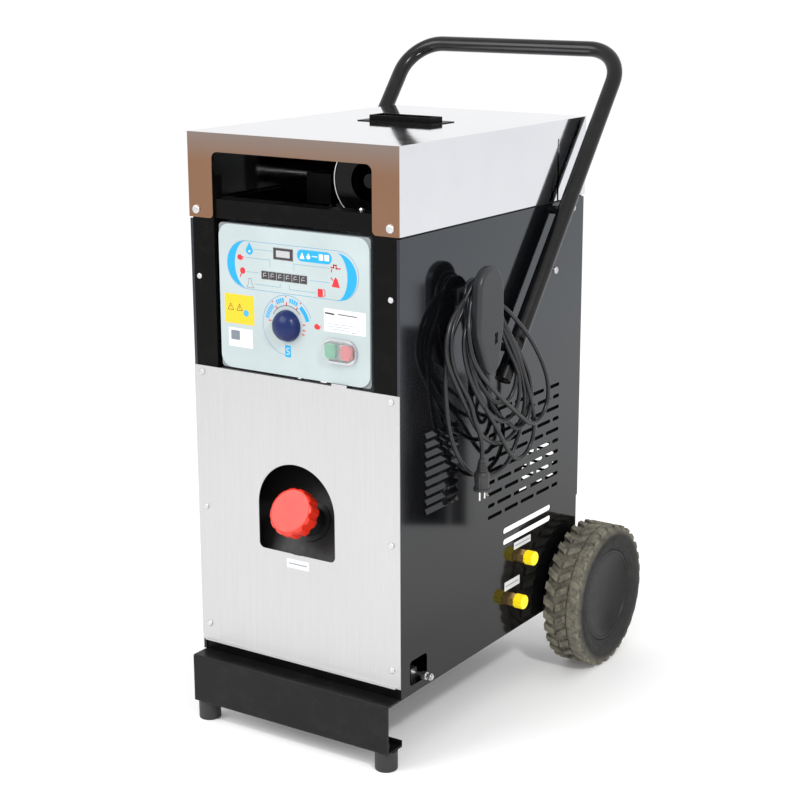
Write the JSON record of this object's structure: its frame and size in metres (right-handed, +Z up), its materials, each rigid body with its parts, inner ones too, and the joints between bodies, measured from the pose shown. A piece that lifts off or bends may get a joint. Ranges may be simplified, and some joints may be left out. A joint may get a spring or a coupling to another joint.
{
  "type": "hot-water pressure washer",
  "caption": "Tall wheeled hot-water pressure washer cabinet with polished hood, control panel, fuel cap, sloping push handle, feet, and a coiled mains cord on a side hook.",
  "frame": {"origin": "on the floor, under the middle of the whole machine with the handle and without the cord", "axes": "+Z up, -Y out of the front face with the controls, +X to the right as seen from the front"},
  "size_m": [0.708, 0.9014, 1.3808],
  "materials": {
    "black_paint": "gloss",
    "black_frame": "satin",
    "grey_bracket": "satin",
    "polished_steel": "mirror polished",
    "brushed_steel": "fine brushed",
    "grey_box": "satin",
    "panel_face": "printed, satin",
    "knob_blue": "gloss",
    "dark_window": "gloss, tinted",
    "silver_trim": "silver satin",
    "green_button": "gloss",
    "red_button": "gloss",
    "clear_boot": "clear, soft",
    "grey_electric": "matt",
    "tank_black": "matt",
    "cap_red": "gloss",
    "seal_rubber": "matt",
    "tyre_rubber": "matt, dusty",
    "rim_grey": "satin",
    "zinc_steel": "zinc plated",
    "boiler_steel": "plain sheet",
    "coil_steel": "scaled",
    "burner_alloy": "cast",
    "motor_blue": "painted cast",
    "pump_alloy": "cast",
    "brass": "machined",
    "cap_yellow": "gloss",
    "hook_grey": "satin",
    "cord_grey": "satin",
    "plug_grey": "satin",
    "pin_steel": "bright",
    "handle_black": "gloss powder coat"
  },
  "bodies": {
    "cabinet": {"base_tray": "black_frame", "frame_posts": "black_frame", "front_cross_bar": "black_frame", "side_panel_right": "black_paint", "side_panel_left": "black_paint", "rear_cover": "black_paint", "top_hood": "polished_steel", "flue_collar": "zinc_steel", "front_panel": "brushed_steel", "foot_bracket": "grey_bracket", "front_feet": "seal_rubber", "handle_tube": "handle_black", "handle_fixings": "zinc_steel", "axle": "zinc_steel", "control_box": "grey_box", "control_plate": "panel_face", "display_windows": "dark_window", "thermostat_body": "grey_electric", "switch_bezel": "silver_trim", "switch_boot": "clear_boot", "relay_module": "grey_electric", "fuel_tank": "tank_black", "fuel_neck": "tank_black", "boiler_shell": "boiler_steel", "heating_coil": "coil_steel", "flue_duct": "boiler_steel", "burner_housing": "burner_alloy", "burner_motor": "burner_alloy", "fuel_pump": "pump_alloy", "pump_motor": "motor_blue", "fan_cover": "black_frame", "pump_crankcase": "pump_alloy", "pump_head": "brass", "unloader_valve": "brass", "water_pipes": "zinc_steel", "water_fittings": "brass", "drain_fitting": "zinc_steel", "cable_hook": "hook_grey", "cable_gland": "cord_grey", "cord_coil": "cord_grey", "cord_lead": "cord_grey", "cord_tail": "cord_grey", "plug_body": "plug_grey", "plug_pins": "pin_steel", "panel_screws": "zinc_steel"},
    "wheel_left": {"tyre_left": "tyre_rubber", "rim_left": "rim_grey", "wheel_cover_left": "rim_grey"},
    "wheel_right": {"tyre_right": "tyre_rubber", "rim_right": "rim_grey", "wheel_cover_right": "rim_grey"},
    "knob": {"temperature_knob": "knob_blue"},
    "start": {"start_button": "green_button"},
    "stop": {"stop_button": "red_button"},
    "filler_cap": {"fuel_cap": "cap_red", "cap_gasket": "seal_rubber"},
    "inlet_plug": {"inlet_cap": "cap_yellow"},
    "outlet_plug": {"outlet_cap": "cap_yellow"},
    "motor_rotor": {"motor_fan": "tank_black"},
    "burner_rotor": {"burner_fan": "burner_alloy"}
  },
  "joints": [
    {"name": "wheel_left_spin", "type": "hinge", "parent": "cabinet", "child": "wheel_left", "pos_m": [0, 0.28995, 0.16], "axis": [1, 0, 0], "continuous": true},
    {"name": "wheel_right_spin", "type": "hinge", "parent": "cabinet", "child": "wheel_right", "pos_m": [0, 0.28995, 0.16], "axis": [1, 0, 0], "continuous": true},
    {"name": "knob_turn", "type": "hinge", "parent": "cabinet", "child": "knob", "pos_m": [-0.014, -0.41175, 0.865], "axis": [0, 1, 0], "range_deg": [0, 270]},
    {"name": "start_press", "type": "slide", "parent": "cabinet", "child": "start", "axis": [0, 1, 0], "range_m": [0, 0.003], "stiffness_N_per_m": 800},
    {"name": "stop_press", "type": "slide", "parent": "cabinet", "child": "stop", "axis": [0, 1, 0], "range_m": [0, 0.003], "stiffness_N_per_m": 800},
    {"name": "fuel_cap_off", "type": "slide", "parent": "cabinet", "child": "filler_cap", "axis": [0, -0.866, 0.5], "range_m": [0, 0.1]},
    {"name": "inlet_cap_off", "type": "slide", "parent": "cabinet", "child": "inlet_plug", "axis": [1, 0, 0], "range_m": [0, 0.04]},
    {"name": "outlet_cap_off", "type": "slide", "parent": "cabinet", "child": "outlet_plug", "axis": [1, 0, 0], "range_m": [0, 0.04]},
    {"name": "motor_spin", "type": "hinge", "parent": "cabinet", "child": "motor_rotor", "pos_m": [0, 0.14825, 0.294], "axis": [1, 0, 0], "continuous": true},
    {"name": "burner_fan_spin", "type": "hinge", "parent": "cabinet", "child": "burner_rotor", "pos_m": [0.102, -0.41175, 1.142], "axis": [0, 1, 0], "continuous": true}
  ]
}
